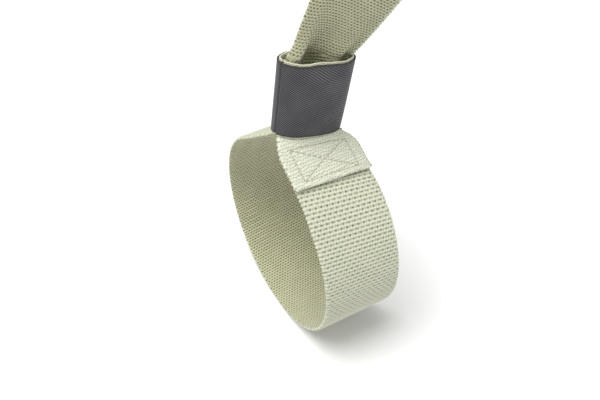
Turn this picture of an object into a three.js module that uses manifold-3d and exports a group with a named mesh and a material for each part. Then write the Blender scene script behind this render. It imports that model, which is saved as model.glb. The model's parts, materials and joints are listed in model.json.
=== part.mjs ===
// Stretching strap: one long webbing with a cinch loop at each end and a carrying arch between them.
// Millimetres, +Z up. The origin is on the axis of the roll that both loops hold, half way between them.
// +X runs along the roll, +Y is the back of the loops, and the near end is the one at -X.
import * as THREE from 'three';
import { mergeVertices } from 'three/addons/utils/BufferGeometryUtils.js';
import Module from 'manifold-3d';

// Webbing
const webbingWidth = 38;
const webbingThickness = 1.8;
const layerGap = 0.3;

// Loops and the roll they are drawn round
const rollRadius = 49.75;
const rollClearance = 0.25;
const loopSpacing = 450;
const soleHalfAngle = 4.5;
const bandStep = 9;

// Sleeve: webbing lining inside a cover, one tube sewn to the folded end
const sleeveWidth = 35.5;
const sleeveDepth = 16;
const sleeveRoundness = 2.4;
const coverThickness = 0.6;
const coverHeight = 36.4;
const liningThickness = 1.2;
const liningHeight = 38;
const sleeveLift = 12.5;
const sleeveLean = 8;
const sleeveYaw = -14;

// Standing strap inside the sleeve: it curls into an S to pass
const curlDepthClearance = 1;
const curlSideClearance = 0.1;
const curlTilt = 1 / 3;
const curlAtMouth = 0.3;
const curlRise = 12;
const curlSettle = 75;
const backLegEnd = 0.94;
const pinchedBy = 0.9;
const strapSegments = 10;

// Folded end
const foldForward = 5.2;
const foldBelowSleeve = 0.15;
const foldThicknesses = 1.5;
const tabLength = 23.5;
const foldPinch = 1.2;
const splitBelowLeg = 6;

// Handle arch, centre line of its near half: out of the sleeve, then over to the middle
const runLength = 42;
const archForward = 50;
const archHeight = 368;
const archShoulder = 115;
const archLeaving = new THREE.Vector3(62, -60, 175);
const archTwistLength = 85;

// Threads
const threadWidth = 1;
const threadThickness = 0.5;
const stitchBoxWidth = 28;
const stitchBoxHeight = 16.5;
const stitchBoxInset = 3;
const coverSeamInset = 2.5;
const foldSeamHeight = 5;
const foldSeamWidth = 20;

const degrees = Math.PI / 180;
const bandRadius = rollRadius + rollClearance + webbingThickness / 2;
const layerPitch = webbingThickness + layerGap;
const sleeveWall = coverThickness + layerGap + liningThickness;
const sleeveBore = sleeveWidth - 2 * sleeveWall;
const sleeveBoreDepth = sleeveDepth - 2 * sleeveWall;
const curlHeight = (sleeveBoreDepth - webbingThickness) / 2 - curlDepthClearance;
const curledWidth = sleeveBore - 2 * (curlSideClearance + webbingThickness * curlTilt);
const foldedWidth = sleeveBore - foldPinch;

const materials = {
  webbing: { color: 0xd9dcc4, roughness: 0.9, metalness: 0 },
  innerFace: { color: 0xa8ae86, roughness: 0.92, metalness: 0 },
  cover: { color: 0x3a3c42, roughness: 0.6, metalness: 0 },
  thread: { color: 0xcfd2b8, roughness: 0.8, metalness: 0 },
  darkThread: { color: 0x2b2c30, roughness: 0.8, metalness: 0 },
};

const wasm = await Module();
wasm.setup();

// --- Meshes ---------------------------------------------------------------------------------

function signedVolume(vertices, triangles) {
  let volume = 0;
  for (const [a, b, c] of triangles) {
    volume += vertices[a].dot(new THREE.Vector3().crossVectors(vertices[b], vertices[c])) / 6;
  }
  return volume;
}

function closedGeometry(vertices, triangles) {
  const outward = signedVolume(vertices, triangles) > 0;
  const index = triangles.flatMap(([a, b, c]) => (outward ? [a, b, c] : [a, c, b]));
  const geometry = new THREE.BufferGeometry().setFromPoints(vertices);
  geometry.setIndex(index);
  return geometry;
}

// A loft through rings that all have the same number of points, closed by a strip of quads at each end.
function loft(rings) {
  const size = rings[0].length;
  const half = size / 2;
  const triangles = [];
  for (let i = 0; i + 1 < rings.length; i += 1) {
    for (let j = 0; j < size; j += 1) {
      const a = i * size + j;
      const b = i * size + ((j + 1) % size);
      triangles.push([a, b, b + size], [a, b + size, a + size]);
    }
  }
  for (const [start, flip] of [[0, true], [(rings.length - 1) * size, false]]) {
    for (let j = 0; j + 1 < half; j += 1) {
      const quad = [start + j, start + j + 1, start + size - 2 - j, start + size - 1 - j];
      const [a, b, c, d] = flip ? quad.reverse() : quad;
      triangles.push([a, b, c], [a, c, d]);
    }
  }
  return closedGeometry(rings.flat(), triangles);
}

// One ring of a strip: its outer side from -width to +width, then its inner side back.
function stripRing({ point, across, normal, curl = 0, width = webbingWidth, segments = 2 }, thickness) {
  const outer = [];
  const inner = [];
  for (let i = 0; i <= segments; i += 1) {
    const u = (2 * i) / segments - 1;
    const slope = (curl * Math.PI * Math.cos(Math.PI * u)) / (width / 2);
    const sideways = (-slope / Math.hypot(1, slope)) * (thickness / 2);
    const outwards = thickness / 2 / Math.hypot(1, slope);
    const middle = point.clone().addScaledVector(across, (u * width) / 2);
    middle.addScaledVector(normal, curl * Math.sin(Math.PI * u));
    outer.push(middle.clone().addScaledVector(across, sideways).addScaledVector(normal, outwards));
    inner.push(middle.clone().addScaledVector(across, -sideways).addScaledVector(normal, -outwards));
  }
  return [...outer, ...inner.reverse()];
}

function strip(stations, thickness = webbingThickness) {
  return loft(stations.map((station) => stripRing(station, thickness)));
}

function solidOf(geometry) {
  const bare = geometry.clone();
  bare.deleteAttribute('normal');
  bare.deleteAttribute('uv');
  const merged = mergeVertices(bare);
  const vertProperties = new Float32Array(merged.attributes.position.array);
  const triVerts = new Uint32Array(merged.index.array);
  return new wasm.Manifold(new wasm.Mesh({ numProp: 3, vertProperties, triVerts }));
}

function geometryOf(solid) {
  const mesh = solid.getMesh();
  const geometry = new THREE.BufferGeometry();
  geometry.setAttribute('position', new THREE.BufferAttribute(mesh.vertProperties, 3));
  geometry.setIndex(new THREE.BufferAttribute(mesh.triVerts, 1));
  return geometry;
}

function joined(geometries) {
  return geometryOf(geometries.map(solidOf).reduce((whole, piece) => whole.add(piece)));
}

function smooth(value) {
  const t = Math.min(Math.max(value, 0), 1);
  return t * t * (3 - 2 * t);
}

// --- Frames of one end, in its own coordinates: X = 0 at the middle of the band --------------

const sleeveTurn = new THREE.Quaternion()
  .setFromAxisAngle(new THREE.Vector3(0, 1, 0), sleeveLean * degrees)
  .multiply(new THREE.Quaternion().setFromAxisAngle(new THREE.Vector3(0, 0, 1), sleeveYaw * degrees));
const sleeveAcross = new THREE.Vector3(1, 0, 0).applyQuaternion(sleeveTurn);
const sleeveFront = new THREE.Vector3(0, -1, 0).applyQuaternion(sleeveTurn);
const sleeveBack = sleeveFront.clone().negate();
const sleeveUp = new THREE.Vector3(0, 0, 1).applyQuaternion(sleeveTurn);
const sleeveFoot = new THREE.Vector3(-2, 0, rollRadius + sleeveLift);

function inSleeve(across, front, up) {
  return sleeveFoot
    .clone()
    .addScaledVector(sleeveAcross, across)
    .addScaledVector(sleeveFront, front)
    .addScaledVector(sleeveUp, up);
}

// Angles round the roll run from the top towards the front.
function onBand(angle) {
  const normal = new THREE.Vector3(0, -Math.sin(angle), Math.cos(angle));
  const point = normal.clone().multiplyScalar(bandRadius);
  return { point, across: new THREE.Vector3(1, 0, 0), normal };
}

// The angle at which a straight leg to the target leaves the band's circle.
function leavingAngle(target, side) {
  const reach = Math.hypot(target.y, target.z);
  return Math.atan2(-target.y, target.z) + side * Math.acos(bandRadius / reach);
}

const foldDrop = foldBelowSleeve + foldThicknesses * webbingThickness;
const foldTop = inSleeve(0, foldForward - layerPitch, -foldDrop);
const throat = inSleeve(0, 0, 0);
const frontAngle = leavingAngle(foldTop, 1);
const backAngle = leavingAngle(throat, -1);
const frontSplit = frontAngle + splitBelowLeg * degrees;

// A straight leg from the band to a point of the sleeve, turning to the sleeve's own direction.
function legStation(angle, target, share) {
  const start = onBand(angle);
  const point = start.point.clone().lerp(target, share);
  const across = start.across.clone().lerp(sleeveAcross, smooth(share)).normalize();
  const along = target.clone().sub(start.point).normalize().multiplyScalar(Math.sign(angle));
  const normal = new THREE.Vector3().crossVectors(across, along).normalize();
  return { point, across, normal };
}

const legLength = foldTop.distanceTo(onBand(frontAngle).point);

function offsetStation(station, distance) {
  return { ...station, point: station.point.clone().addScaledVector(station.normal, distance) };
}

// --- Sub-parts of one end ---------------------------------------------------------------------

function loopBand() {
  const sole = soleHalfAngle * degrees;
  const end = 2 * Math.PI + backAngle;
  const stations = [];
  for (const [from, to] of [[frontSplit + layerGap / bandRadius, Math.PI - sole], [Math.PI + sole, end]]) {
    const steps = Math.ceil((to - from) / (bandStep * degrees));
    for (let i = 0; i <= steps; i += 1) {
      stations.push(onBand(from + ((to - from) * i) / steps));
    }
  }
  return strip(stations);
}

function legStations(offset, fromShare, steps) {
  const stations = [];
  for (let i = 0; i <= steps; i += 1) {
    const share = fromShare + ((1 - fromShare) * i) / steps;
    const width = webbingWidth + (foldedWidth - webbingWidth) * smooth(share);
    stations.push({ ...offsetStation(legStation(frontAngle, foldTop, share), offset), width });
  }
  return stations;
}

function foldedEnd() {
  const rising = legStations(0, 0, 6);
  const falling = legStations(layerPitch, 1 - tabLength / legLength, 6).reverse();
  const top = rising[rising.length - 1];
  const along = new THREE.Vector3().crossVectors(top.normal, top.across).normalize();
  const centre = top.point.clone().addScaledVector(top.normal, layerPitch / 2);
  const turn = [];
  for (const angle of [30, 60, 90, 120, 150]) {
    const outward = top.normal.clone().multiplyScalar(-Math.cos(angle * degrees));
    outward.addScaledVector(along, Math.sin(angle * degrees));
    turn.push({
      point: centre.clone().addScaledVector(outward, layerPitch / 2),
      across: top.across,
      normal: outward.clone().negate(),
      width: foldedWidth,
    });
  }
  const onRoll = onBand(frontSplit);
  const back = falling.map((station) => ({ ...station, normal: station.normal.clone().negate() }));
  return strip([onRoll, ...rising, ...turn, ...back]);
}

// The sleeve's outline is a flattened superellipse, drawn in by the layers outside it.
function sleeveOutline(inset, path) {
  const points = [];
  const power = 2 / sleeveRoundness;
  const steps = 48;
  for (let i = 0; i < steps; i += 1) {
    const angle = (2 * Math.PI * i) / steps;
    const x = Math.sign(Math.cos(angle)) * Math.abs(Math.cos(angle)) ** power;
    const y = Math.sign(Math.sin(angle)) * Math.abs(Math.sin(angle)) ** power;
    points.push(new THREE.Vector2(x * (sleeveWidth / 2 - inset), y * (sleeveDepth / 2 - inset)));
  }
  return path.setFromPoints(points);
}

function sleeveTube(inset, wall, height, foot) {
  const shape = sleeveOutline(inset, new THREE.Shape());
  shape.holes.push(sleeveOutline(inset + wall, new THREE.Path()));
  const geometry = new THREE.ExtrudeGeometry(shape, { depth: height, bevelEnabled: false });
  geometry.applyQuaternion(sleeveTurn);
  const origin = inSleeve(0, 0, foot);
  return geometry.translate(origin.x, origin.y, origin.z);
}

const coverFoot = (liningHeight - coverHeight) / 2;

function sleeveCover() {
  return sleeveTube(0, coverThickness, coverHeight, coverFoot);
}

function sleeveLining() {
  return sleeveTube(coverThickness + layerGap, liningThickness, liningHeight, 0);
}

// A straight run of thread laid on the outside of the tab, between two points of the tab's face.
function tabThread(from, to) {
  const steps = 8;
  const stations = [];
  for (let i = 0; i <= steps; i += 1) {
    const u = from.x + ((to.x - from.x) * i) / steps;
    const v = from.y + ((to.y - from.y) * i) / steps;
    const leg = legStation(frontAngle, foldTop, v / legLength);
    const lift = layerPitch + webbingThickness / 2 + layerGap + threadThickness / 2;
    const point = offsetStation(leg, lift).point.addScaledVector(leg.across, u);
    const along = new THREE.Vector3().crossVectors(leg.normal, leg.across).normalize();
    const heading = leg.across.clone().multiplyScalar(to.x - from.x).addScaledVector(along, to.y - from.y);
    const across = new THREE.Vector3().crossVectors(heading, leg.normal).normalize();
    stations.push({ point, across, normal: leg.normal, width: threadWidth, segments: 1 });
  }
  return strip(stations, threadThickness);
}

function boxStitch() {
  const left = -stitchBoxWidth / 2;
  const right = stitchBoxWidth / 2;
  const low = legLength - tabLength + stitchBoxInset;
  const high = low + stitchBoxHeight;
  const reach = threadWidth / 2;
  const corners = { a: [left, low], b: [right, low], c: [right, high], d: [left, high] };
  const place = (name, dx, dy) => new THREE.Vector2(corners[name][0] + dx, corners[name][1] + dy);
  return joined([
    tabThread(place('a', -reach, 0), place('b', reach, 0)),
    tabThread(place('d', -reach, 0), place('c', reach, 0)),
    tabThread(place('a', 0, -reach), place('d', 0, reach)),
    tabThread(place('b', 0, -reach), place('c', 0, reach)),
    tabThread(place('a', 0, 0), place('c', 0, 0)),
    tabThread(place('b', 0, 0), place('d', 0, 0)),
  ]);
}

// How far in front of the sleeve's middle its outline lies, drawn in by an inset.
function sleeveReach(across, inset) {
  const share = Math.abs(across) / (sleeveWidth / 2 - inset);
  return (sleeveDepth / 2 - inset) * (1 - share ** sleeveRoundness) ** (1 / sleeveRoundness);
}

// The seam that hangs the sleeve on the fold: a row of thread along the lining's inner face.
function foldSeam() {
  const inset = sleeveWall + layerGap + threadThickness / 2;
  const stations = [];
  const steps = 8;
  for (let i = 0; i <= steps; i += 1) {
    const across = foldSeamWidth * (i / steps - 0.5);
    stations.push({
      point: inSleeve(across, sleeveReach(across, inset), foldSeamHeight / 2),
      across: sleeveUp,
      normal: sleeveFront,
      width: foldSeamHeight,
      segments: 1,
    });
  }
  return strip(stations, threadThickness);
}

function coverSeam() {
  const front = -(sleeveDepth / 2 + layerGap + threadThickness / 2);
  const ends = [coverFoot + coverSeamInset, coverFoot + coverHeight - coverSeamInset];
  const stations = ends.map((up) => ({
    point: inSleeve(0, front, up),
    across: sleeveAcross,
    normal: sleeveFront,
    width: threadWidth,
    segments: 1,
  }));
  return strip(stations, threadThickness);
}

// --- The handle's centre line -------------------------------------------------------------------

const sleeveMouth = inSleeve(0, 0, liningHeight);
const halfSpacing = loopSpacing / 2;

function toNearEnd(vector) {
  return vector.clone().setX(vector.x - halfSpacing);
}

const archStart = toNearEnd(sleeveMouth);
const archCrown = new THREE.Vector3(0, -archForward, archHeight);
const archRise = archHeight - archStart.z;
const nearHalf = new THREE.CubicBezierCurve3(
  archStart,
  archStart.clone().add(archLeaving),
  archCrown.clone().setX(-archShoulder),
  archCrown,
);

// The strap's width turns from the sleeve's direction to straight across the arch as it climbs.
function archStation(share) {
  const point = nearHalf.getPointAt(share);
  const tangent = nearHalf.getTangentAt(share);
  const climbed = (point.z - archStart.z) / archTwistLength;
  const turned = (1 - Math.exp(-climbed)) / (1 - Math.exp(-archRise / archTwistLength));
  const start = Math.atan2(sleeveAcross.y, sleeveAcross.x);
  const turn = start + (-Math.PI / 2 - start) * turned;
  const level = new THREE.Vector3(Math.cos(turn), Math.sin(turn), 0);
  const across = level.addScaledVector(tangent, -level.dot(tangent)).normalize();
  const normal = new THREE.Vector3().crossVectors(tangent, across).normalize();
  return { point, across, normal };
}

const runShare = runLength / nearHalf.getLength();

// The strap narrows by curling into an S, so that it passes the sleeve, and opens out beyond it.
function pinch(station, narrowing, curling) {
  const width = webbingWidth + (curledWidth - webbingWidth) * narrowing;
  return { ...station, segments: strapSegments, curl: curlHeight * curling, width };
}

function openingStation(share) {
  const tight = 1 - smooth((share * nearHalf.getLength()) / curlSettle);
  return pinch(archStation(share), tight, tight);
}

// The stretch of strap that the sleeve slides on: up from the roll's back, through, and out.
function strapRun() {
  const stations = [];
  const legSteps = 4;
  const gapShare = layerGap / throat.distanceTo(onBand(backAngle).point);
  for (let i = 0; i < legSteps; i += 1) {
    const share = Math.max(i / (legSteps - 1), gapShare) * backLegEnd;
    const narrowing = smooth(share / pinchedBy);
    stations.push(pinch(legStation(backAngle, throat, share), narrowing, curlAtMouth * narrowing));
  }
  const sleeveSteps = 8;
  for (let i = 0; i <= sleeveSteps; i += 1) {
    const up = (liningHeight * i) / sleeveSteps;
    const curling = curlAtMouth + (1 - curlAtMouth) * smooth(up / curlRise);
    stations.push(pinch({ point: inSleeve(0, 0, up), across: sleeveAcross, normal: sleeveBack }, 1, curling));
  }
  const exitSteps = 6;
  for (let i = 1; i <= exitSteps; i += 1) {
    const station = openingStation((runShare * i) / exitSteps);
    station.point = station.point.clone().setX(station.point.x + halfSpacing);
    stations.push(station);
  }
  return strip(stations);
}

function mirroredStation(station) {
  const flip = (vector) => vector.clone().setX(-vector.x);
  const { point, across, normal } = station;
  return { ...station, point: flip(point), across: flip(across), normal: flip(normal) };
}

function handleArch() {
  const steps = 26;
  const first = runShare + layerGap / nearHalf.getLength();
  const near = [];
  for (let i = 0; i <= steps; i += 1) {
    near.push(openingStation(first + ((1 - first) * i) / steps));
  }
  const far = near.slice(0, -1).map(mirroredStation).reverse();
  return strip([...near, ...far]);
}

// --- Assembly ---------------------------------------------------------------------------------

function mirrored(geometry) {
  const solid = mergeVertices(geometry.clone().deleteAttribute('normal').deleteAttribute('uv'));
  const index = solid.index.array;
  const flipped = [];
  for (let i = 0; i < index.length; i += 3) {
    flipped.push(index[i], index[i + 2], index[i + 1]);
  }
  solid.setIndex(flipped);
  return solid.scale(-1, 1, 1);
}

function meshOf(name, geometry, material) {
  const mesh = new THREE.Mesh(geometry, new THREE.MeshStandardMaterial(materials[material]));
  mesh.name = name;
  return mesh;
}

const subParts = [
  ['loop_band', loopBand, 'webbing'],
  ['strap_run', strapRun, 'innerFace'],
  ['folded_end', foldedEnd, 'innerFace'],
  ['sleeve_lining', sleeveLining, 'webbing'],
  ['sleeve_cover', sleeveCover, 'cover'],
  ['box_stitch', boxStitch, 'thread'],
  ['fold_seam', foldSeam, 'thread'],
  ['cover_seam', coverSeam, 'darkThread'],
];

const strap = new THREE.Group();
for (const [end, side] of [['near', -1], ['far', 1]]) {
  const group = new THREE.Group();
  group.position.x = side * halfSpacing;
  for (const [name, make, material] of subParts) {
    const geometry = make();
    const placed = side < 0 ? geometry : mirrored(geometry);
    group.add(meshOf(`${end}_${name}`, placed, material));
  }
  strap.add(group);
}
strap.add(meshOf('handle_arch', handleArch(), 'innerFace'));

export default strap;
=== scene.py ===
import json
import math

import bmesh
import bpy
import numpy as np
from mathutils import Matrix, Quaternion, Vector


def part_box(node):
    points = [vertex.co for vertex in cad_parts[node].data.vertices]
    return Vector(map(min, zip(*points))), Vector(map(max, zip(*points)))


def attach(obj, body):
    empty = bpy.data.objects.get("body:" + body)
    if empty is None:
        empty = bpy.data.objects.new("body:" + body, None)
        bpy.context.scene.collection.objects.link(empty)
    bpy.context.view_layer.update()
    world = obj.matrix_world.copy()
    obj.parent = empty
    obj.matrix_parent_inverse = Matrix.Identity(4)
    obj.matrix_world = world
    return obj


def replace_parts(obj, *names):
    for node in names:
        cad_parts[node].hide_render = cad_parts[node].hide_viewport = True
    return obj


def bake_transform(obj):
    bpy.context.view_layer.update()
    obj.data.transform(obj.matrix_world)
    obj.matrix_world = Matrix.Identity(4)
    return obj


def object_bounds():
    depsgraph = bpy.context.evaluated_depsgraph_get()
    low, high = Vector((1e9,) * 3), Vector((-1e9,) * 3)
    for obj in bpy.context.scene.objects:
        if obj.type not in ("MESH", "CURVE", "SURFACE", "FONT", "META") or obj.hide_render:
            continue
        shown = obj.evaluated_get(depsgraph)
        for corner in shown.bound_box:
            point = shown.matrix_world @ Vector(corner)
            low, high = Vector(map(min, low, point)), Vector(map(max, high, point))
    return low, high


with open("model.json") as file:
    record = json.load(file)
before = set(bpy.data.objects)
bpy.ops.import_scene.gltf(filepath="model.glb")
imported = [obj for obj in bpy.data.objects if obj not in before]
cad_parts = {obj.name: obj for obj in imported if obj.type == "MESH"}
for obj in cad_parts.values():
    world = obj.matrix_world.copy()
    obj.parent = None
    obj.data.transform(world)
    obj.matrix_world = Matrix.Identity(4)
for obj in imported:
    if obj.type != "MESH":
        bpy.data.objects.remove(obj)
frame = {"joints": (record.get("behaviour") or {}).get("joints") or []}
cad_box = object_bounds()

MM = 0.001

# Webbing: its weave repeats along the strap and across it, coarse outside and fine inside
WEBBING_WIDTH = 38 * MM
WEBBING_THICKNESS = 1.8 * MM
COARSE_RIB = 1.93 * MM
COARSE_PIT = 2.85 * MM
FINE_RIB = 1.42 * MM
FINE_PIT = 1.75 * MM
COARSE_RELIEF = 0.30 * MM
FINE_RELIEF = 0.36 * MM
WEAVE_SKEW = 0.10
BUMP_LEAN = 0.18
WEAVE_SET_IN = 0.12 * MM

# The weave's relief is calmer on the handle, which is seen from further off.
CALMER_FROM = 50 * MM
CALMER_OVER = 50 * MM
CALMER_BY = 0.65

# Sleeve: the cover's outer face is its full size, and the rest is set in from it
SLEEVE_YAW = math.radians(-14)
SLEEVE_WIDTH = 35.5 * MM
SLEEVE_DEPTH = 16 * MM
COVER_THICKNESS = 0.6 * MM
COVER_HEIGHT = 36.4 * MM
COVER_RAGGED = 0.22 * MM
LINING_THICKNESS = 1.2 * MM
LINING_WALL = 0.95 * MM
LINING_HEIGHT = 38 * MM
LINING_BELOW = 0.4 * MM
LINING_SHORT = 0.45 * MM
LINING_RAGGED = 0.3 * MM
LINING_RIB = 1.6 * MM
LINING_RELIEF = 0.05 * MM
LAYER_GAP = 0.25 * MM

# The cover's edge laps over itself down the sleeve's left side, and leaves a step.
LAP_TURN = math.radians(160)
LAP_STEP = 0.75 * MM

# The strap where it folds over, and where it is drawn through the sleeve
FOLD_WIDTH = 28.7 * MM
FOLD_SHIFT = 1.2 * MM
FOLD_FORWARD = 1.7 * MM
FOLD_BELOW = 2.2 * MM
THROAT_WIDTH = 25.2 * MM
THROAT_BACK = 1.5 * MM
THROAT_UP = 2 * MM
MOUTH_WIDTH = 27.4 * MM
MOUTH_SHIFT = 1.3 * MM
CUPPED = 2.2 * MM
CURL = 2.1 * MM
HOLLOW = 2.2 * MM
CUP = 1.3 * MM
PINCH_FADES = 110 * MM

# Handle arch
ARCH_LEAVING = Vector((57, -60, 175)) * MM
ARCH_SHOULDER = 115 * MM
ARCH_TWIST_LENGTH = 85 * MM
RUN_TOP = 105 * MM

# Tab: the strap's end, folded over at the top of the leg and laid down on the band's outside
TAB_LENGTH = 24.3 * MM
TAB_PITCH = WEBBING_THICKNESS + 0.35 * MM
TAB_EXTRA = 0.2 * MM
TAB_ROLL = 0.5 * MM
TAB_SPREAD = 0.8 * MM
STITCH_LOW = TAB_LENGTH - 3.0 * MM
STITCH_HIGH = TAB_LENGTH - 17.8 * MM
STITCH_HALF = 13.5 * MM
STITCH_SINK = 0.32 * MM
STITCH_GROOVE = 0.9 * MM

# Thread: a stitch shows over three quarters of its pitch
TAB_STITCH_PITCH = 2.3 * MM
COVER_STITCH_PITCH = 2.4 * MM
COVER_SEAM_MARGIN = 3 * MM
COVER_SEAM_TURN = math.radians(262)
THREAD_RADIUS = 0.26 * MM
THREAD_BULGE = 0.15 * MM
SHOWS_FROM = 0.12
SHOWS_TO = 0.88


def box_middle(node):
    low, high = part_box(node)
    return (low + high) / 2


def slide_axis(end):
    joint = next(j for j in frame["joints"] if j["name"] == f"{end}_cinch_slide")
    return Vector(joint["axis"]).normalized()


# The near end is worked out here, and the far end is its mirror image.
BAND_X = box_middle("near_loop_band").x
BAND_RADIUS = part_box("near_loop_band")[1].y - WEBBING_THICKNESS / 2
SLEEVE_UP = slide_axis("near")
SLEEVE_FOOT = box_middle("near_sleeve_lining") - SLEEVE_UP * LINING_HEIGHT / 2
SLEEVE_LEAN = math.atan2(SLEEVE_UP.x, SLEEVE_UP.z)
SLEEVE_TURN = Quaternion((0, 1, 0), SLEEVE_LEAN) @ Quaternion((0, 0, 1), SLEEVE_YAW)
SLEEVE_ACROSS = SLEEVE_TURN @ Vector((1, 0, 0))
SLEEVE_FRONT = SLEEVE_TURN @ Vector((0, -1, 0))
FLOOR_Z = cad_box[0].z


# --- Small numeric helpers --------------------------------------------------------------------


def smooth(t):
    t = np.clip(t, 0, 1)
    return t * t * (3 - 2 * t)


def unit(rows):
    return rows / np.linalg.norm(rows, axis=-1, keepdims=True)


def in_sleeve(across, front, up):
    return SLEEVE_FOOT + SLEEVE_ACROSS * across + SLEEVE_FRONT * front + SLEEVE_UP * up


def bezier(p0, p1, p2, p3, n):
    t = np.linspace(0, 1, n)[:, None]
    a, b, c, d = (np.array(p, float) for p in (p0, p1, p2, p3))
    return a * (1 - t) ** 3 + 3 * b * t * (1 - t) ** 2 + 3 * c * t * t * (1 - t) + d * t**3


def through(x, xs, ys):
    """A smooth curve through a few chosen points."""
    xs, ys = np.array(xs, float), np.array(ys, float)
    slopes = np.gradient(ys, xs)
    k = np.clip(np.searchsorted(xs, x) - 1, 0, len(xs) - 2)
    h = xs[k + 1] - xs[k]
    t = (x - xs[k]) / h
    a = (2 * t**3 - 3 * t**2 + 1) * ys[k] + (t**3 - 2 * t**2 + t) * h * slopes[k]
    return a + (-2 * t**3 + 3 * t**2) * ys[k + 1] + (t**3 - t**2) * h * slopes[k + 1]


# --- The strap's route, from the top of the fold, round the roll, through the sleeve, to the crown


def on_band(angle, radius):
    """Angles run from the top towards the front, and on round."""
    return Vector((BAND_X, -math.sin(angle) * radius, math.cos(angle) * radius))


def band_heading(angle):
    return Vector((0, -math.cos(angle), -math.sin(angle)))


FOLD_TOP = in_sleeve(0, FOLD_FORWARD, -FOLD_BELOW)
THROAT = in_sleeve(0, -THROAT_BACK, THROAT_UP)
BACK_ANGLE = math.radians(360 - 37)

# How far each bend keeps the direction it starts or ends with
BAND_KEEPS = 16 * MM
THROAT_KEEPS = 9 * MM
SLEEVE_KEEPS = 12 * MM


def leaving_angle(target):
    """Where a straight leg to the target leaves the band's circle, in front of it."""
    reach = math.hypot(target.y, target.z)
    return math.atan2(-target.y, target.z) + math.acos(BAND_RADIUS / reach)


FRONT_ANGLE = leaving_angle(FOLD_TOP)


def route_pieces():
    """The strap's middle line: front leg, band, back leg, inside the sleeve, and half of the arch."""
    leaving = on_band(FRONT_ANGLE, BAND_RADIUS)
    front = bezier(
        FOLD_TOP,
        FOLD_TOP + (leaving - FOLD_TOP) / 3,
        FOLD_TOP + (leaving - FOLD_TOP) * 2 / 3,
        leaving,
        200,
    )
    angles = np.linspace(FRONT_ANGLE, BACK_ANGLE, 900)[1:]
    band = np.array([on_band(a, BAND_RADIUS) for a in angles])
    back = bezier(
        band[-1],
        Vector(band[-1]) + band_heading(BACK_ANGLE) * BAND_KEEPS,
        THROAT - SLEEVE_UP * THROAT_KEEPS,
        THROAT,
        200,
    )[1:]
    mouth = in_sleeve(0, 0, LINING_HEIGHT)
    keeps = SLEEVE_UP * SLEEVE_KEEPS
    inside = bezier(THROAT, THROAT + keeps, mouth - keeps, mouth, 160)[1:]
    low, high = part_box("handle_arch")
    crown = Vector((0, low.y + WEBBING_WIDTH / 2, high.z - WEBBING_THICKNESS / 2))
    arch = bezier(
        mouth,
        mouth + ARCH_LEAVING,
        Vector((-ARCH_SHOULDER, crown.y, crown.z)),
        crown,
        1600,
    )[1:]
    return front, band, back, inside, arch


def make_route():
    """The route by its length s, with the strap's sideways and outward directions along it."""
    pieces = route_pieces()
    points = np.concatenate(pieces)
    length = np.concatenate([[0], np.cumsum(np.linalg.norm(np.diff(points, axis=0), axis=1))])
    marks = {}
    done = 0
    for name, piece in zip(("front", "band", "back", "inside", "arch"), pieces):
        done += len(piece)
        marks[name] = length[done - 1]
    tangent = unit(np.gradient(points, length, axis=0))
    x_axis = np.array([1.0, 0, 0])
    sleeve = np.array(SLEEVE_ACROSS)
    along_leg = 0.45 * (1 - smooth(length / (42 * MM)))
    at_fold = 0.55 * np.exp(-length / (4 * MM))
    up_back_leg = smooth((length - marks["band"]) / (marks["back"] - marks["band"]))
    share = np.maximum(along_leg + at_fold, up_back_leg)
    across = x_axis * (1 - share[:, None]) + sleeve * share[:, None]
    start = math.atan2(sleeve[1], sleeve[0])
    mouth = pieces[3][-1]
    rise = points[-1, 2] - mouth[2]
    climbed = np.maximum(points[:, 2] - mouth[2], 0) / ARCH_TWIST_LENGTH
    turned = (1 - np.exp(-climbed)) / (1 - math.exp(-rise / ARCH_TWIST_LENGTH))
    turn = start + (-math.pi / 2 - start) * turned
    level = np.stack([np.cos(turn), np.sin(turn), np.zeros_like(turn)], axis=1)
    on_arch = (length > marks["inside"])[:, None]
    level = unit(level - tangent * np.sum(level * tangent, axis=1, keepdims=True))
    across = unit(np.where(on_arch, level, across))
    normal = unit(np.cross(tangent, across))
    return {"s": length, "point": points, "across": across, "normal": normal, "marks": marks}


ROUTE = make_route()
MARK = ROUTE["marks"]
MOUTH_S = MARK["inside"]
CROWN_S = MARK["arch"]


def up_the_back(s):
    """0 on the band, rising to 1 along the back leg."""
    return smooth((s - MARK["band"]) / (MARK["back"] - MARK["band"]))


def past_mouth(s):
    return np.maximum(s - MOUTH_S, 0)


def pinched(s):
    """How far the strap is drawn in by the sleeve, from 0 at its full width."""
    out = 1 - smooth((s - MOUTH_S) / PINCH_FADES)
    return np.where(s < MARK["band"], 0, np.minimum(up_the_back(s), out))


def chord(s):
    """The strap's width from edge to edge, where it is folded, cupped or curled too."""
    fold = 1 - smooth(s / (11 * MM)) ** 0.5
    cupped = CUPPED * (1 - smooth((s - 18 * MM) / (28 * MM)))
    narrow = WEBBING_WIDTH - cupped - (WEBBING_WIDTH - CUPPED - FOLD_WIDTH) * fold
    climbed = smooth((s - MARK["back"]) / (MOUTH_S - MARK["back"]))
    curled = THROAT_WIDTH + (MOUTH_WIDTH - THROAT_WIDTH) * climbed
    return np.where(s < MARK["band"], narrow, WEBBING_WIDTH - (WEBBING_WIDTH - curled) * pinched(s))


def sidestep(s):
    """How far the strap lies to the right of its route: at the fold, and where it leaves the sleeve."""
    fold = FOLD_SHIFT * (1 - smooth(s / (46 * MM)))
    leaving = smooth((s - MOUTH_S + 5 * MM) / (11 * MM))
    mouth = MOUTH_SHIFT * leaving * np.exp(-past_mouth(s) / (28 * MM))
    return fold + mouth


# Towards the front of the sleeve, across the strap from left to right, where it comes out of the top.
EXIT_FOLD_U = [-1.0, -0.86, -0.72, -0.58, -0.4, 0.0, 0.35, 0.6, 0.8, 1.0]
EXIT_FOLD_MM = [1.2, 2.6, 2.6, -1.2, -3.3, -2.2, 0.9, 1.4, -1.2, -0.6]


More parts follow.
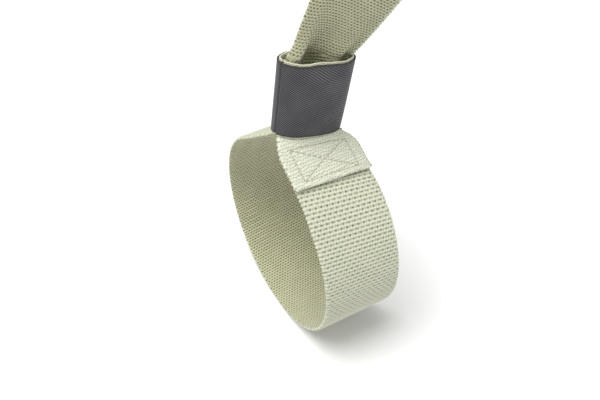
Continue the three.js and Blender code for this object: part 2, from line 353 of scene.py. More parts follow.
def bow(s, u):
    """How far the strap's middle surface stands off its route, along its outer normal."""
    u = u * np.ones_like(s)
    folded = -through(u, EXIT_FOLD_U, EXIT_FOLD_MM) * MM
    settled = np.exp(-past_mouth(s) / (15 * MM))
    inner = 1 - smooth((MOUTH_S - s) / (20 * MM))
    curled = CURL * np.sin(math.pi * u) * (1 - inner) + folded * inner
    curled = curled * up_the_back(s) * settled
    hollow = HOLLOW * (1 - u * u) * np.exp(-past_mouth(s) / (60 * MM))
    hollow = hollow * smooth((s - MOUTH_S) / (12 * MM))
    deepens = 1 - 0.6 * smooth(s / (14 * MM))
    fades = 1 - smooth((s - 18 * MM) / (26 * MM))
    cup = CUP * (1 - u * u) * deepens * fades
    return np.where(s < MARK["band"], cup, curled + hollow)


def frame_at(s):
    """Middle point, sideways direction and outward normal of the strap at each s."""
    out = {}
    for key in ("point", "across", "normal"):
        out[key] = np.stack([np.interp(s, ROUTE["s"], ROUTE[key][:, k]) for k in range(3)], axis=-1)
    out["across"] = unit(out["across"])
    out["normal"] = unit(out["normal"])
    out["point"] = out["point"] + out["across"] * sidestep(s)[:, None]
    return out


# --- Weave relief ---------------------------------------------------------------------------------


def coarse_relief(x, s):
    """Ribs across the strap, each a row of bumps, with staggered pits in the valleys between them."""
    rib = 0.5 - 0.5 * np.cos(2 * math.pi * s / COARSE_RIB)
    row = np.floor(s / COARSE_RIB + 0.5)
    shift = np.where(row % 2 == 0, 0, 0.5)
    lean = BUMP_LEAN * s / COARSE_RIB
    bump = 0.5 + 0.5 * np.cos(4 * math.pi * (x / COARSE_PIT + lean))
    pit = (0.5 + 0.5 * np.cos(2 * math.pi * (x / COARSE_PIT + shift))) ** 5 * (1 - rib) ** 2
    depth = np.where(row % 2 == 0, 1.0, 0.6)
    return COARSE_RELIEF * (0.5 * np.sqrt(rib) + 0.5 * bump * np.sqrt(rib) - 0.8 * pit * depth)


def fine_relief(x, s):
    """A close plain weave: grains and pits in turn, like a chessboard."""
    return -FINE_RELIEF * 0.5 * np.cos(math.pi * s / FINE_RIB) * np.cos(2 * math.pi * x / FINE_PIT)


# --- Meshes ------------------------------------------------------------------------------------------


def mirror_rows(points):
    return points * np.array([-1.0, 1.0, 1.0])


def add_mesh(name, vertices, faces, uvs, material_index, materials, flat_faces=()):
    """A mesh object with a uv in millimetres for each face corner."""
    mesh = bpy.data.meshes.new(name)
    mesh.from_pydata(vertices.tolist(), [], faces.tolist())
    for material in materials:
        mesh.materials.append(material)
    mesh.polygons.foreach_set("material_index", np.asarray(material_index, np.int32))
    layer = mesh.uv_layers.new(name="Weave")
    layer.data.foreach_set("uv", np.asarray(uvs, np.float32).ravel())
    flags = np.ones(len(faces), bool)
    if len(flat_faces):
        flags[np.asarray(flat_faces)] = False
    mesh.polygons.foreach_set("use_smooth", flags)
    mesh.update()
    obj = bpy.data.objects.new(name, mesh)
    bpy.context.scene.collection.objects.link(obj)
    return obj


def ring_layout(outer_columns, inner_columns, edge_steps=3):
    """Places round the strap's section.

    u runs from edge to edge, lift is 1 on the outer face and -1 on the inner, reach is how far round the
    edge a place is, and zone is 0, 1 or 2 for outer face, inner face or edge.
    """
    places = []

    def edge(side):
        for k in range(1, edge_steps):
            angle = math.pi / 2 - math.pi * k / edge_steps
            places.append((side, side * math.sin(angle), side * math.cos(angle), 2))

    for k in range(outer_columns + 1):
        places.append((2 * k / outer_columns - 1, 1.0, 0.0, 0))
    edge(1.0)
    for k in range(inner_columns + 1):
        places.append((1 - 2 * k / inner_columns, -1.0, 0.0, 1))
    edge(-1.0)
    u, lift, reach, zone = np.array(places, float).T
    return u, lift, reach, zone.astype(int)


def sheet_surface(s, u, frames, bow_at, width_at):
    """Middle surface and its unit normal and sideways direction at each (s, u)."""
    half = width_at(s)[:, None] / 2

    def at(uu):
        point = frames["point"][:, None, :] + frames["across"][:, None, :] * (half * uu)[..., None]
        return point + frames["normal"][:, None, :] * bow_at(s[:, None], uu)[..., None]

    grid = u[None, :] * np.ones((len(s), 1))
    step = 0.01
    middle = at(grid)
    sideways = unit(at(np.minimum(grid + step, 1)) - at(np.maximum(grid - step, -1)))
    along = np.gradient(middle, axis=0)
    normal = unit(np.cross(along, sideways))
    facing = np.sign(np.sum(normal * frames["normal"][:, None, :], axis=2, keepdims=True))
    return middle, normal * facing, sideways


def skew_at(s):
    """How far the ribs run out of square with the strap: it fades out towards the handle's crown."""
    return -WEAVE_SKEW * (1 - smooth((s - MOUTH_S) / (150 * MM)))


def full_thickness(s):
    return np.full(len(s), WEBBING_THICKNESS)


def build_strip(
    name,
    s,
    frames,
    materials,
    columns,
    side,
    bow_at=bow,
    width_at=chord,
    thickness_at=full_thickness,
    skew=skew_at,
    relief_share=1.0,
    edge_loop=0.45 * MM,
):
    """A closed woven strip over the stations s. side is 1 for the near end and -1 for the far end."""
    u, lift, reach, zone = ring_layout(*columns)
    middle, normal, sideways = sheet_surface(s, u, frames, bow_at, width_at)
    x = u[None, :] * WEBBING_WIDTH / 2 * np.ones((len(s), 1))
    weave_s = s[:, None] + skew(s)[:, None] * x
    relief = np.where(lift[None, :] > 0, coarse_relief(x, weave_s), fine_relief(x, weave_s))
    relief = relief * (zone != 2)[None, :]
    near_edge = smooth((1 - np.abs(u)) / 0.05)[None, :]
    flatter = 1 - CALMER_BY * smooth((s - MOUTH_S - CALMER_FROM) / CALMER_OVER)
    relief = relief * (0.4 + 0.6 * near_edge) * relief_share * flatter[:, None]
    half = thickness_at(s)[:, None] / 2
    loops = -edge_loop / 2 * np.cos(2 * math.pi * weave_s / COARSE_RIB)
    edge = smooth((np.abs(u) - 0.93) / 0.07)[None, :] * loops * np.sign(u)[None, :]
    offset = lift[None, :] * (half - WEAVE_SET_IN + np.maximum(relief, -half * 0.5))
    points = middle + normal * offset[..., None]
    points = points + sideways * (reach[None, :] * half + edge)[..., None]
    if side < 0:
        points = mirror_rows(points)
    rows, ring = points.shape[:2]
    a = np.arange(rows - 1)[:, None] * ring + np.arange(ring)[None, :]
    b = np.arange(rows - 1)[:, None] * ring + (np.arange(ring)[None, :] + 1) % ring
    quads = np.stack([a, b, b + ring, a + ring], axis=2).reshape(-1, 4)
    uv = np.stack([x / MM, weave_s / MM], axis=2).reshape(-1, 2)
    first = np.arange(ring // 2 - 1)
    cap = np.stack([first, first + 1, ring - 2 - first, ring - 1 - first], axis=1)
    cap_faces = np.concatenate([cap, cap[:, ::-1] + (rows - 1) * ring])
    faces = np.concatenate([quads, cap_faces])
    if side > 0:
        faces = faces[:, ::-1]
    on_inner_face = np.tile(np.where(zone == 1, 1, 0), rows - 1)
    index = np.concatenate([on_inner_face, np.zeros(len(cap_faces), int)])
    flat = np.arange(len(quads), len(faces))
    return add_mesh(name, points.reshape(-1, 3), faces, uv[faces].reshape(-1, 2), index, materials, flat)


def outwards(obj):
    """Turns a closed mesh's faces outwards if they all face in."""
    mesh = obj.data
    mesh.calc_loop_triangles()
    corners = np.zeros(len(mesh.loop_triangles) * 3, np.int32)
    mesh.loop_triangles.foreach_get("vertices", corners)
    co = np.zeros(len(mesh.vertices) * 3)
    mesh.vertices.foreach_get("co", co)
    tri = co.reshape(-1, 3)[corners.reshape(-1, 3)]
    if np.sum(tri[:, 0] * np.cross(tri[:, 1], tri[:, 2])) < 0:
        mesh.flip_normals()
    return obj


# --- Materials -----------------------------------------------------------------------------------------


class Nodes:
    """A short way to write a material's node tree."""

    def __init__(self, name):
        self.material = bpy.data.materials.new(name)
        self.material.use_nodes = True
        self.tree = self.material.node_tree
        self.shader = self.tree.nodes["Principled BSDF"]

    def add(self, kind, **settings):
        node = self.tree.nodes.new(kind)
        for key, value in settings.items():
            setattr(node, key, value)
        return node

    def put(self, socket, value):
        if isinstance(value, bpy.types.NodeSocket):
            self.tree.links.new(value, socket)
        else:
            socket.default_value = value

    def math(self, operation, a, b=0.0, c=0.0, clamp=False):
        node = self.add("ShaderNodeMath", operation=operation, use_clamp=clamp)
        for socket, value in zip(node.inputs, (a, b, c)):
            self.put(socket, value)
        return node.outputs[0]

    def mix(self, factor, a, b):
        node = self.add("ShaderNodeMix", data_type="RGBA")
        self.put(node.inputs["Factor"], factor)
        colours = [s for s in node.inputs if s.type == "RGBA"]
        self.put(colours[0], a)
        self.put(colours[1], b)
        return next(s for s in node.outputs if s.type == "RGBA")

    def noise(self, vector, scale, detail=2.0, roughness=0.5):
        node = self.add("ShaderNodeTexNoise")
        self.put(node.inputs["Vector"], vector)
        self.put(node.inputs["Scale"], scale)
        self.put(node.inputs["Detail"], detail)
        self.put(node.inputs["Roughness"], roughness)
        return node.outputs["Fac"]

    def weave(self):
        node = self.add("ShaderNodeUVMap", uv_map="Weave")
        parts = self.add("ShaderNodeSeparateXYZ")
        self.put(parts.inputs[0], node.outputs[0])
        return node.outputs[0], parts.outputs[0], parts.outputs[1]

    def bump(self, height, distance, strength=1.0):
        node = self.add("ShaderNodeBump")
        self.put(node.inputs["Height"], height)
        self.put(node.inputs["Distance"], distance)
        self.put(node.inputs["Strength"], strength)
        return node.outputs[0]


def wave(nodes, value, period, phase=0.0):
    """0 to 1 and back over each period."""
    turn = nodes.math("MULTIPLY_ADD", value, 2 * math.pi / period, phase)
    return nodes.math("MULTIPLY_ADD", nodes.math("COSINE", turn), -0.5, 0.5)


def webbing_material(name, rib, pit, light, dark, pit_power, painted_shades, faint_rows=0.0, wobble=0.1):
    """Ribs along y of the uv and pits along x, in millimetres. The three shade amounts say how strongly
    painted shade darkens the pits, the valleys between ribs and the gaps between bumps towards the dark
    colour.
    """
    pit_shade, valley_shade, gap_shade = painted_shades
    n = Nodes(name)
    uv, x, y = n.weave()
    y = n.math("MULTIPLY_ADD", n.noise(uv, 0.45, 2.0), wobble, y)
    ribs = wave(n, y, rib)
    valley = n.math("SUBTRACT", 1.0, ribs)
    row = n.math("FLOOR", n.math("MULTIPLY_ADD", y, 1 / rib, 0.5))
    odd = n.math("MODULO", n.math("ABSOLUTE", row), 2.0)
    shift = n.math("MULTIPLY", odd, math.pi)
    turn = n.math("MULTIPLY_ADD", x, 2 * math.pi / pit, shift)
    columns = n.math("MULTIPLY_ADD", n.math("COSINE", turn), 0.5, 0.5)
    hole = n.math("MULTIPLY", n.math("POWER", columns, pit_power), n.math("POWER", valley, 2.4))
    faint = n.math("MULTIPLY_ADD", odd, -faint_rows, 1.0)
    hole = n.math("MULTIPLY", hole, faint, clamp=True)
    yarn = n.noise(uv, 3.2, 3.0, 0.65)
    patch = n.noise(uv, 0.12, 2.0)
    grain = n.math("MULTIPLY_ADD", yarn, 0.5, -0.25)
    lean = n.math("MULTIPLY_ADD", y, 0.18 * pit / rib, x)
    gap = n.math("POWER", wave(n, lean, pit / 2), 3.0)
    # Painted shade: the pits, the valleys between ribs and the gaps between bumps are darkened in colour,
    # standing in for the shade in the weave's hollows.
    shade = n.math("MULTIPLY_ADD", valley, valley_shade, n.math("MULTIPLY", hole, pit_shade))
    shade = n.math("MULTIPLY_ADD", gap, gap_shade, shade)
    shade = n.math("ADD", shade, grain, clamp=True)
    colour = n.mix(shade, light, dark)
    warm = n.mix(0.5, light, (0.78, 0.74, 0.55, 1))
    colour = n.mix(n.math("MULTIPLY", n.math("SUBTRACT", patch, 0.4), 0.5, clamp=True), colour, warm)
    n.put(n.shader.inputs["Base Color"], colour)
    n.put(n.shader.inputs["Roughness"], n.math("MULTIPLY_ADD", yarn, 0.15, 0.8))
    n.shader.inputs["Sheen Weight"].default_value = 0.3
    n.shader.inputs["Sheen Roughness"].default_value = 0.6
    n.shader.inputs["Specular IOR Level"].default_value = 0.25
    height = n.math("SUBTRACT", n.math("MULTIPLY", ribs, 0.6), hole)
    height = n.math("ADD", height, n.math("MULTIPLY", yarn, 0.35))
    height = n.math("MULTIPLY_ADD", gap, -0.35, height)
    n.put(n.shader.inputs["Normal"], n.bump(height, 0.35 * MM, 0.8))
    return n.material


def cover_material():
    n = Nodes("coated_twill")
    uv, x, y = n.weave()
    lines = wave(n, n.math("MULTIPLY_ADD", x, -0.55, y), 1.0)
    cross = wave(n, n.math("MULTIPLY_ADD", x, 1.6, y), 0.8)
    yarn = n.noise(uv, 2.4, 3.0, 0.6)
    weave = n.math("MULTIPLY", lines, n.math("MULTIPLY_ADD", cross, 0.4, 0.6))
    cloud = n.noise(uv, 0.08, 2.0)
    clouds = n.math("MULTIPLY_ADD", cloud, 0.4, -0.2)
    tone = n.math("ADD", n.math("MULTIPLY", weave, 0.85), clouds, clamp=True)
    colour = n.mix(tone, (0.018, 0.018, 0.022, 1), (0.165, 0.160, 0.172, 1))
    n.put(n.shader.inputs["Base Color"], colour)
    rough = n.math("MULTIPLY_ADD", yarn, 0.2, 0.38)
    n.put(n.shader.inputs["Roughness"], rough)
    n.shader.inputs["Specular IOR Level"].default_value = 0.22
    height = n.math("ADD", weave, n.math("MULTIPLY", yarn, 0.25))
    n.put(n.shader.inputs["Normal"], n.bump(height, 0.07 * MM, 0.8))
    return n.material


def hem_material():
    n = Nodes("cover_edge")
    uv, x, y = n.weave()
    yarn = n.noise(uv, 3.0, 3.0, 0.6)
    n.put(n.shader.inputs["Base Color"], n.mix(yarn, (0.018, 0.017, 0.016, 1), (0.045, 0.042, 0.035, 1)))
    n.put(n.shader.inputs["Roughness"], n.math("MULTIPLY_ADD", yarn, 0.2, 0.6))
    n.put(n.shader.inputs["Normal"], n.bump(yarn, 0.1 * MM, 0.6))
    return n.material


def thread_material(name, light, dark):
    n = Nodes(name)
    uv, x, y = n.weave()
    twist = wave(n, n.math("MULTIPLY_ADD", x, 2.0, y), 0.35)
    fibre = n.noise(uv, 6.0, 3.0, 0.6)
    n.put(n.shader.inputs["Base Color"], n.mix(n.math("MULTIPLY", twist, fibre), light, dark))
    n.put(n.shader.inputs["Roughness"], n.math("MULTIPLY_ADD", fibre, 0.2, 0.6))
    n.shader.inputs["Sheen Weight"].default_value = 0.2
    n.put(n.shader.inputs["Normal"], n.bump(twist, 0.05 * MM, 0.7))
    return n.material


# The _DARK colours are what the painted shade in the weave's pits, valleys and gaps darkens towards, along
# with the yarn's grain.
PALE = (0.66, 0.68, 0.53, 1)
PALE_DARK = (0.17, 0.18, 0.09, 1)
# The fine face's olive is set darker than the same face shows on the tab: painted shade, for the strap's
# inner face where it rises in shade out of the sleeve.
OLIVE_SHADED = (0.54, 0.54, 0.345, 1)
OLIVE_DARK = (0.06, 0.06, 0.02, 1)
TAB = (0.72, 0.74, 0.60, 1)
TAB_DARK = (0.28, 0.29, 0.17, 1)
LINING = (0.58, 0.58, 0.40, 1)
RIM = (0.86, 0.85, 0.64, 1)

coarse = webbing_material(
    "webbing_coarse",
    COARSE_RIB / MM,
    COARSE_PIT / MM,
    PALE,
    PALE_DARK,
    pit_power=3.5,
    painted_shades=(0.95, 0.34, 0.26),
    faint_rows=0.35,
)
fine = webbing_material(
    "webbing_fine",
    FINE_RIB / MM,
    FINE_PIT / MM,
    OLIVE_SHADED,
    OLIVE_DARK,
    pit_power=1.2,
    painted_shades=(1.1, 0.12, 0.12),
)
tab_face = webbing_material(
    "webbing_tab",
    FINE_RIB / MM,
    1.36,
    TAB,
    TAB_DARK,
    pit_power=1.3,
    painted_shades=(0.5, 0.0, 0.2),
    wobble=2.4,
)
lining_face = webbing_material(
    "webbing_lining",
    1.6,
    1.3,
    LINING,
    OLIVE_DARK,
    pit_power=2.0,
    painted_shades=(0.5, 0.2, 0.1),
)
lining_rim = webbing_material(
    "webbing_rim",
    1.0,
    1.1,
    RIM,
    OLIVE_DARK,
    pit_power=1.5,
    painted_shades=(0.5, 0.1, 0.15),
)
twill = cover_material()
hem = hem_material()
# The pale thread's colours are set darker and greyer than the tab it is sewn into: painted shade of the
# stitch holes.
pale_thread = thread_material("thread_pale", (0.60, 0.61, 0.48, 1), (0.22, 0.22, 0.16, 1))
dark_thread = thread_material("thread_dark", (0.05, 0.05, 0.055, 1), (0.015, 0.015, 0.018, 1))


# --- Pieces ------------------------------------------------------------------------------------------------

def stations(start, end, step):
    count = max(int(round((end - start) / step)), 2)
    return np.linspace(start, end, count + 1)


def whole_rib(s):
    return round(s / COARSE_RIB) * COARSE_RIB


# Where the strap is drawn as one piece and then the next. They overlap inside the sleeve.
RUN_START = MARK["back"] + 14 * MM
RUN_END = whole_rib(MOUTH_S + RUN_TOP)
BAND_START = 0.5 * MM
BAND_END = RUN_START + 4 * MM


def make_band(end, side):
    s = stations(BAND_START, BAND_END, 0.42 * MM)
    obj = build_strip(f"{end}_band", s, frame_at(s), [coarse, fine], (60, 20), side)
    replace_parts(outwards(obj), f"{end}_loop_band")
    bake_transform(obj)


def make_run(end, side):
    s = stations(RUN_START, RUN_END, 0.36 * MM)
    obj = build_strip(f"{end}_run", s, frame_at(s), [coarse, fine], (36, 84), side)
    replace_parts(outwards(obj), f"{end}_strap_run")
    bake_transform(obj)


def make_arch():
    """Both halves of the handle, the far one a mirror image, as one piece."""
    half = stations(RUN_END, CROWN_S, 0.5 * MM)
    frames = frame_at(half)
    back = {key: mirror_rows(rows[::-1][1:]) for key, rows in frames.items()}
    whole = {key: np.concatenate([frames[key], back[key]]) for key in frames}
    along = np.concatenate([half, 2 * CROWN_S - half[::-1][1:]])

    def from_end(s):
        return np.minimum(s, 2 * CROWN_S - s)

    obj = build_strip(
        "handle",
        along,
        whole,
        [coarse, fine],
        (18, 40),
        1,
        bow_at=lambda s, u: bow(from_end(s), u),
        width_at=lambda s: chord(from_end(s)),
        skew=lambda s: skew_at(from_end(s)),
    )
    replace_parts(outwards(obj), "handle_arch")
    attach(obj, "webbing")


# How far along the tab its fold over the leg's top reaches
FOLD_TURN = math.pi * TAB_PITCH / 2


def tab_frames(d):
    """d runs from the leg's side of the fold, over it, and down the outside of the leg."""
    s = np.maximum(d - FOLD_TURN, 0)
    leg = frame_at(s)
    angle = (np.clip(d / FOLD_TURN, 0, 1) * math.pi)[:, None]
    up = np.array(SLEEVE_UP)
    out = leg["normal"]
    over = out * (1 - np.cos(angle)) * TAB_PITCH / 2 + up * np.sin(angle) * TAB_PITCH / 2
    normal = out * np.cos(angle) + up * np.sin(angle)
    return {"point": leg["point"] + over, "across": leg["across"], "normal": unit(normal), "s": s}


def stitch_lines():
    """The box and its cross, as (x, distance down the leg) pairs in metres."""
    low, high, w = STITCH_LOW, STITCH_HIGH, STITCH_HALF
    corners = [(-w, low), (w, low), (w, high), (-w, high)]
    sides = [(corners[k], corners[(k + 1) % 4]) for k in range(4)]
    return sides + [(corners[0], corners[2]), (corners[1], corners[3])]


def line_distance(x, y, line):
    (x0, y0), (x1, y1) = line
    dx, dy = x1 - x0, y1 - y0
    t = np.clip(((x - x0) * dx + (y - y0) * dy) / (dx * dx + dy * dy), 0, 1)
    return np.hypot(x - x0 - t * dx, y - y0 - t * dy)


def make_tab(end, side):
    length = FOLD_TURN + TAB_LENGTH
    d = stations(0, length, 0.3 * MM)
    frames = tab_frames(d)

    def leg_s(a):
        return np.interp(a, d, frames["s"])

    def bow_at(a, u):
        """The tab follows the leg's bow, swells at its cut end and sinks along its stitches."""
        a = a * np.ones_like(u)
        s = leg_s(a)
        facing = np.cos(np.clip(a / FOLD_TURN, 0, 1) * math.pi)
        swell = TAB_ROLL * np.exp(-(((length - a) / (1.5 * MM)) ** 2))
        sunk = np.zeros_like(u)
        for line in stitch_lines():
            away = line_distance(u * chord(s) / 2, s, line)
            sunk = np.maximum(sunk, STITCH_SINK * np.exp(-((away / STITCH_GROOVE) ** 2)))
        return bow(s, u) * facing - (swell - sunk * (a > FOLD_TURN))

    def width_at(a):
        return chord(leg_s(a)) + TAB_SPREAD * smooth((a - FOLD_TURN) / (10 * MM))

    def thickness_at(a):
        blunt = np.sqrt(np.clip(1 - (1 - np.clip((length - a) / (1.0 * MM), 0, 1)) ** 2, 0, 1))
        rolled = TAB_ROLL * np.exp(-(((length - a) / (2.2 * MM)) ** 2))
        return (WEBBING_THICKNESS + TAB_EXTRA + rolled) * (0.12 + 0.88 * blunt)

    obj = build_strip(
        f"{end}_tab",
        d,
        frames,
        [coarse, tab_face],
        (24, 84),
        side,
        bow_at=bow_at,
        width_at=width_at,
        thickness_at=thickness_at,
        skew=lambda a: -skew_at(a),
        relief_share=0.16,
        edge_loop=0.08 * MM,
    )
    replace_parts(outwards(obj), f"{end}_folded_end")
    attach(obj, f"{end}_cinch")


def tab_point(x, s, raise_by):
    """A point over the tab's outer face, x across it and s down the leg."""
    leg = frame_at(np.array([s]))
    u = x / (float(chord(np.array([s]))[0]) / 2)
    stand = float(bow(np.array([s]), np.array([u]))[0]) + TAB_PITCH + WEBBING_THICKNESS / 2 + raise_by
    return leg["point"][0] + leg["across"][0] * x + leg["normal"][0] * stand


def stitch_shape(a, b, normal, radius, bulge, rings=7, sides=8):
    """One stitch of thread from a to b: it dives into the cloth at both ends."""
    a, b = np.array(a), np.array(b)
    side = unit(np.cross(normal, unit(b - a)))
    points = []
    for share in np.linspace(0, 1, rings):
        thick = radius * max(math.sin(math.pi * (0.06 + 0.88 * share)), 0.2) ** 0.5
        rise = bulge * math.sin(math.pi * share) - 0.5 * radius
        centre = a + (b - a) * share + normal * rise
        for k in range(sides):
            turn = 2 * math.pi * k / sides
            points.append(centre + side * math.cos(turn) * thick + normal * math.sin(turn) * thick)
    faces = []
    for i in range(rings - 1):
        for k in range(sides):
            j = (k + 1) % sides
            faces.append([i * sides + k, i * sides + j, (i + 1) * sides + j, (i + 1) * sides + k])
    for first in (0, (rings - 1) * sides):
        for k in range(1, sides - 2, 2):
            faces.append([first, first + k, first + k + 1, first + k + 2])
    uvs = [(k % sides, k // sides) for k in range(len(points))]
    return points, faces, uvs


def thread_object(name, stitches, material, side, radius=THREAD_RADIUS, bulge=THREAD_BULGE):
    """A row of stitches, each from one point to another with the cloth's normal there."""
    vertices, faces, uvs = [], [], []
    for a, b, normal in stitches:
        points, quads, places = stitch_shape(a, b, normal, radius, bulge)
        start = len(vertices)
        vertices.extend(points)
        faces.extend([[start + k for k in quad] for quad in quads])
        uvs.extend(places)
    vertices = np.array(vertices)
    if side < 0:
        vertices = mirror_rows(vertices)
    faces = np.array(faces)
    uv = np.array(uvs, float)[faces].reshape(-1, 2) * 0.3
    obj = add_mesh(name, vertices, faces, uv, np.zeros(len(faces), int), [material])
    work = bmesh.new()
    work.from_mesh(obj.data)
    bmesh.ops.recalc_face_normals(work, faces=work.faces)
    work.to_mesh(obj.data)
    work.free()
    return obj


def make_box_stitch(end, side):
    """The box and its cross, sewn through the tab."""
    stitches = []
    for (x0, s0), (x1, s1) in stitch_lines():
        count = max(int(round(math.hypot(x1 - x0, s1 - s0) / TAB_STITCH_PITCH)), 1)
        for k in range(count):
            places = []
            for share in ((k + SHOWS_FROM) / count, (k + SHOWS_TO) / count):
                places.append(tab_point(x0 + (x1 - x0) * share, s0 + (s1 - s0) * share, -0.12 * MM))
            normal = frame_at(np.array([s0 + (s1 - s0) * (k + 0.5) / count]))["normal"][0]
            stitches.append((places[0], places[1], normal))
    obj = thread_object(f"{end}_box_stitches", stitches, pale_thread, side, 0.27 * MM, 0.12 * MM)
    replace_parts(obj, f"{end}_box_stitch")
    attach(obj, f"{end}_cinch")


# --- Sleeve ----------------------------------------------------------------------------------------


def sleeve_section(turn, height, inset, lap):
    """Across and front distances of the sleeve's wall at an angle round it, at a share of its height."""
    cos, sin = np.cos(turn), np.sin(turn)
    in_front = sin > 0
    power = 2 / 2.15
    half_width = SLEEVE_WIDTH / 2 * (0.92 + 0.06 * height) - inset
    across = np.sign(cos) * np.abs(cos) ** power * half_width
    fuller = 1.0 + 0.12 * math.sin(math.pi * height) - 0.08 * (1 - height)
    deep = np.where(in_front, SLEEVE_DEPTH / 2 * fuller, SLEEVE_DEPTH / 2 * 0.86) - inset
    forward = np.sign(sin) * np.abs(sin) ** power * deep
    skew = 0.10 * across * in_front * np.abs(sin)
    swell = smooth((height - 0.4) / 0.42) - 1.7 * smooth((height - 0.80) / 0.2)
    pushed = 1.8 * MM * np.exp(-(((across - 1.0 * MM) / (7 * MM)) ** 2)) * in_front * swell
    knuckle = math.exp(-(((height - 0.82) / 0.09) ** 2))
    pushed = pushed + 0.7 * MM * np.exp(-(((across - 0.5 * MM) / (5 * MM)) ** 2)) * in_front * knuckle
    ripple = 0.12 * MM * np.sin(3 * turn + 5 * height) * np.sin(math.pi * height)
    forward = forward - skew * 0.5 + pushed + ripple - lap * sin
    return across - lap * cos, forward


def sleeve_points(turn, up, height, inset, lap=0.0):
    across, forward = sleeve_section(turn, height, inset, lap)
    base = np.array(SLEEVE_FOOT)[None, :]
    points = base + across[:, None] * np.array(SLEEVE_ACROSS) + forward[:, None] * np.array(SLEEVE_FRONT)
    return points + (up * np.ones_like(turn))[:, None] * np.array(SLEEVE_UP)


def rim_wave(turn, size):
    return size * (0.5 * np.sin(5 * turn + 0.7) + 0.3 * np.sin(11 * turn + 2.0) + 0.2 * np.sin(23 * turn))


TUBE_RING = 300
TUBE_STEPS = 56
RIM_ANGLES = tuple(math.radians(angle) for angle in (45, 90, 135))


def make_tube(name, side, inset, wall, foot, tall, ragged, relief, materials, rim_rows):
    """A closed tube wall: up the outside, over the top rim, down the inside and round under the foot.

    relief gives how far the outside stands proud, and rim_rows lists the rows in the second material.
    """
    turn = np.linspace(0, 2 * math.pi, TUBE_RING, endpoint=False)
    past = (turn - LAP_TURN + math.pi) % (2 * math.pi) - math.pi
    lap = LAP_STEP * (np.exp(-((past / 0.035) ** 2)) - 0.45 * np.exp(-(((past + 0.10) / 0.06) ** 2)))
    outline = sleeve_points(turn, 0, 0.5, inset)
    perimeter = np.zeros(TUBE_RING)
    perimeter[1:] = np.cumsum(np.linalg.norm(np.diff(outline, axis=0), axis=1))
    around = perimeter[-1] / MM + np.linalg.norm(outline[0] - outline[-1]) / MM
    shares = np.linspace(0, 1, TUBE_STEPS + 1)
    rows, uv_rows = [], []

    def row(share, depth, lift=0.0):
        near_rims = smooth((share - 0.7) / 0.3) + smooth((0.3 - share) / 0.3)
        up = foot + tall * share + lift + rim_wave(turn, ragged) * near_rims
        rows.append(sleeve_points(turn, up, share, inset + depth, lap))
        along = np.full(TUBE_RING, (tall * share + lift + depth) / MM)
        uv_rows.append(np.stack([perimeter / MM, along], axis=1))

    for share in shares:
        row(share, -relief(perimeter, tall * share))
    for angle in RIM_ANGLES:
        row(1, wall / 2 * (1 - math.cos(angle)), wall / 2 * math.sin(angle))
    for share in shares[::-1]:
        row(share, wall)
    for angle in RIM_ANGLES:
        row(0, wall / 2 * (1 + math.cos(angle)), -wall / 2 * math.sin(angle))
    count = len(rows)
    points = np.concatenate(rows)
    if side < 0:
        points = mirror_rows(points)
    i = np.arange(count)[:, None] * TUBE_RING
    j = ((np.arange(count) + 1) % count)[:, None] * TUBE_RING
    k = np.arange(TUBE_RING)[None, :]
    m = (k + 1) % TUBE_RING
    faces = np.stack([i + k, i + m, j + m, j + k], axis=2).reshape(-1, 4)
    corner_uv = np.concatenate(uv_rows)[faces].copy()
    wraps = np.tile(np.arange(TUBE_RING) == TUBE_RING - 1, count)
    corner_uv[wraps, 1:3, 0] = around
    index = np.zeros(count, int)
    index[rim_rows] = 1
    index = np.repeat(index, TUBE_RING)
    obj = add_mesh(name, points, faces, corner_uv.reshape(-1, 2), index, materials)
    return outwards(obj), around * MM


def no_relief(around, up):
    return np.zeros_like(around)


def lining_ribs(around, up):
    """Upright ribs that fade out towards both rims."""
    inside = smooth((LINING_HEIGHT - up) / (2 * MM)) * smooth(up / (2 * MM))
    return LINING_RELIEF * np.cos(2 * math.pi * around / LINING_RIB) * inside


def make_cover(end, side):
    top_hem = list(range(TUBE_STEPS - 1, TUBE_STEPS + 6))
    obj, around = make_tube(
        f"{end}_cover",
        side,
        0,
        COVER_THICKNESS,
        (LINING_HEIGHT - COVER_HEIGHT) / 2,
        COVER_HEIGHT,
        COVER_RAGGED,
        no_relief,
        [twill, hem],
        top_hem + [0, -1, -2, -3, -4],
    )
    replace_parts(obj, f"{end}_sleeve_cover")
    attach(obj, f"{end}_cinch")


def make_lining(end, side):
    top_rim = list(range(TUBE_STEPS - 1, TUBE_STEPS + 7))
    obj, around = make_tube(
        f"{end}_lining",
        side,
        COVER_THICKNESS + LAYER_GAP,
        LINING_WALL,
        -LINING_BELOW,
        LINING_HEIGHT + LINING_BELOW - LINING_SHORT,
        LINING_RAGGED,
        lining_ribs,
        [lining_face, lining_rim],
        top_rim + [0, 1, -1, -2, -3, -4, -5],
    )
    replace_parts(obj, f"{end}_sleeve_lining")
    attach(obj, f"{end}_cinch")


def make_cover_seam(end, side):
    """A row of dark stitches closes the cover down its back."""
    stitches = []
    turn = np.array([COVER_SEAM_TURN])
    cover_foot = (LINING_HEIGHT - COVER_HEIGHT) / 2
    for k in range(int((COVER_HEIGHT - 2 * COVER_SEAM_MARGIN) / COVER_STITCH_PITCH)):
        ends = []
        for share in (k + SHOWS_FROM, k + SHOWS_TO):
            above_foot = COVER_SEAM_MARGIN + share * COVER_STITCH_PITCH
            height = above_foot / COVER_HEIGHT
            ends.append(sleeve_points(turn, cover_foot + above_foot, height, -0.1 * MM)[0])
        stitches.append((ends[0], ends[1], -np.array(SLEEVE_FRONT)))
    obj = thread_object(f"{end}_cover_stitches", stitches, dark_thread, side)
    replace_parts(obj, f"{end}_cover_seam")
    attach(obj, f"{end}_cinch")


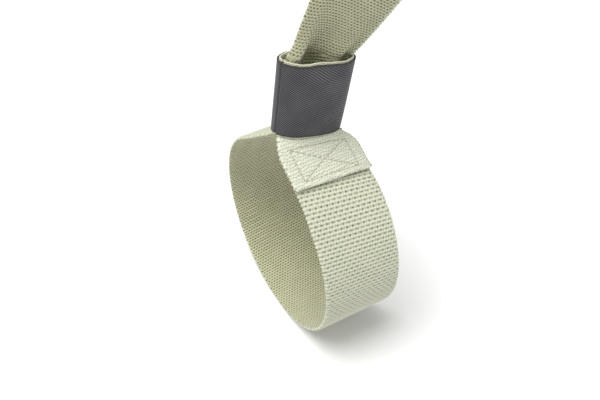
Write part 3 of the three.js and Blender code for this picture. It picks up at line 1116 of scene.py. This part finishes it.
def make_fold_seam(end, side):
    """Stitches on the lining's inner face that hang it on the fold."""
    stitches = []
    inset = COVER_THICKNESS + LAYER_GAP + LINING_THICKNESS + 0.1 * MM
    count = 8
    for k in range(count):
        ends = []
        for share in (k + SHOWS_FROM, k + SHOWS_TO):
            turn = np.array([math.radians(62 + 56 * share / count)])
            ends.append(sleeve_points(turn, 3.2 * MM, 0.1, inset)[0])
        stitches.append((ends[0], ends[1], -np.array(SLEEVE_FRONT)))
    obj = thread_object(f"{end}_fold_stitches", stitches, pale_thread, side)
    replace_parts(obj, f"{end}_fold_seam")
    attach(obj, f"{end}_cinch")


# --- Floor, light and camera -------------------------------------------------------------------------


def make_floor():
    half = 6.0
    z = FLOOR_Z - 0.4 * MM
    corners = [(-half, -half, z), (half, -half, z), (half, half, z), (-half, half, z)]
    mesh = bpy.data.meshes.new("floor")
    mesh.from_pydata(corners, [], [(0, 1, 2, 3)])
    n = Nodes("floor_paper")
    n.shader.inputs["Base Color"].default_value = (0.9, 0.9, 0.9, 1)
    n.shader.inputs["Roughness"].default_value = 0.9
    n.shader.inputs["Specular IOR Level"].default_value = 0.1
    mesh.materials.append(n.material)
    obj = bpy.data.objects.new("floor", mesh)
    bpy.context.scene.collection.objects.link(obj)


def make_world(lights=0.4, shows=1.0):
    """A white studio: how strongly it lights the object, and how white it shows and is reflected."""
    world = bpy.data.worlds.new("studio")
    world.use_nodes = True
    bpy.context.scene.world = world
    tree = world.node_tree
    back = tree.nodes["Background"]
    back.inputs["Color"].default_value = (1, 1, 1, 1)
    path = tree.nodes.new("ShaderNodeLightPath")
    either = tree.nodes.new("ShaderNodeMath")
    either.operation = "MAXIMUM"
    tree.links.new(path.outputs["Is Camera Ray"], either.inputs[0])
    tree.links.new(path.outputs["Is Glossy Ray"], either.inputs[1])
    strength = tree.nodes.new("ShaderNodeMath")
    strength.operation = "MULTIPLY_ADD"
    tree.links.new(either.outputs[0], strength.inputs[0])
    strength.inputs[1].default_value = shows - lights
    strength.inputs[2].default_value = lights
    tree.links.new(strength.outputs[0], back.inputs["Strength"])


def make_lamp(name, towards, strength):
    """A wide soft light that is even over the whole floor."""
    data = bpy.data.lights.new(name, "SUN")
    data.angle = math.radians(40)
    data.energy = strength
    obj = bpy.data.objects.new(name, data)
    obj.rotation_euler = (-Vector(towards)).to_track_quat("-Z", "Y").to_euler()
    bpy.context.scene.collection.objects.link(obj)


def make_camera():
    """The photograph's view: from the front left, looking down on the near loop."""
    azimuth = math.radians(-29.49)
    elevation = math.radians(45.4)
    distance = 0.44
    level = math.cos(elevation)
    back = Vector((math.sin(azimuth) * level, -math.cos(azimuth) * level, math.sin(elevation)))
    aim = Vector((BAND_X + 11.3 * MM, 28.8 * MM, -16.0 * MM))
    data = bpy.data.cameras.new("camera")
    data.sensor_width = 36
    data.lens = 48.1
    data.clip_start = 0.01
    obj = bpy.data.objects.new("camera", data)
    obj.location = aim + back * distance
    obj.rotation_euler = (-back).to_track_quat("-Z", "Y").to_euler()
    bpy.context.scene.collection.objects.link(obj)
    bpy.context.scene.camera = obj


make_camera()
for end, side in (("near", 1), ("far", -1)):
    make_band(end, side)
    make_run(end, side)
    make_tab(end, side)
    make_box_stitch(end, side)
    make_cover(end, side)
    make_lining(end, side)
    make_cover_seam(end, side)
    make_fold_seam(end, side)
make_arch()
make_floor()
make_world()
make_lamp("key", (-0.3, 0.05, 1), 3.0)
make_lamp("fill", (0.5, -0.6, 0.6), 0.35)

bpy.context.scene.view_settings.view_transform = "Standard"
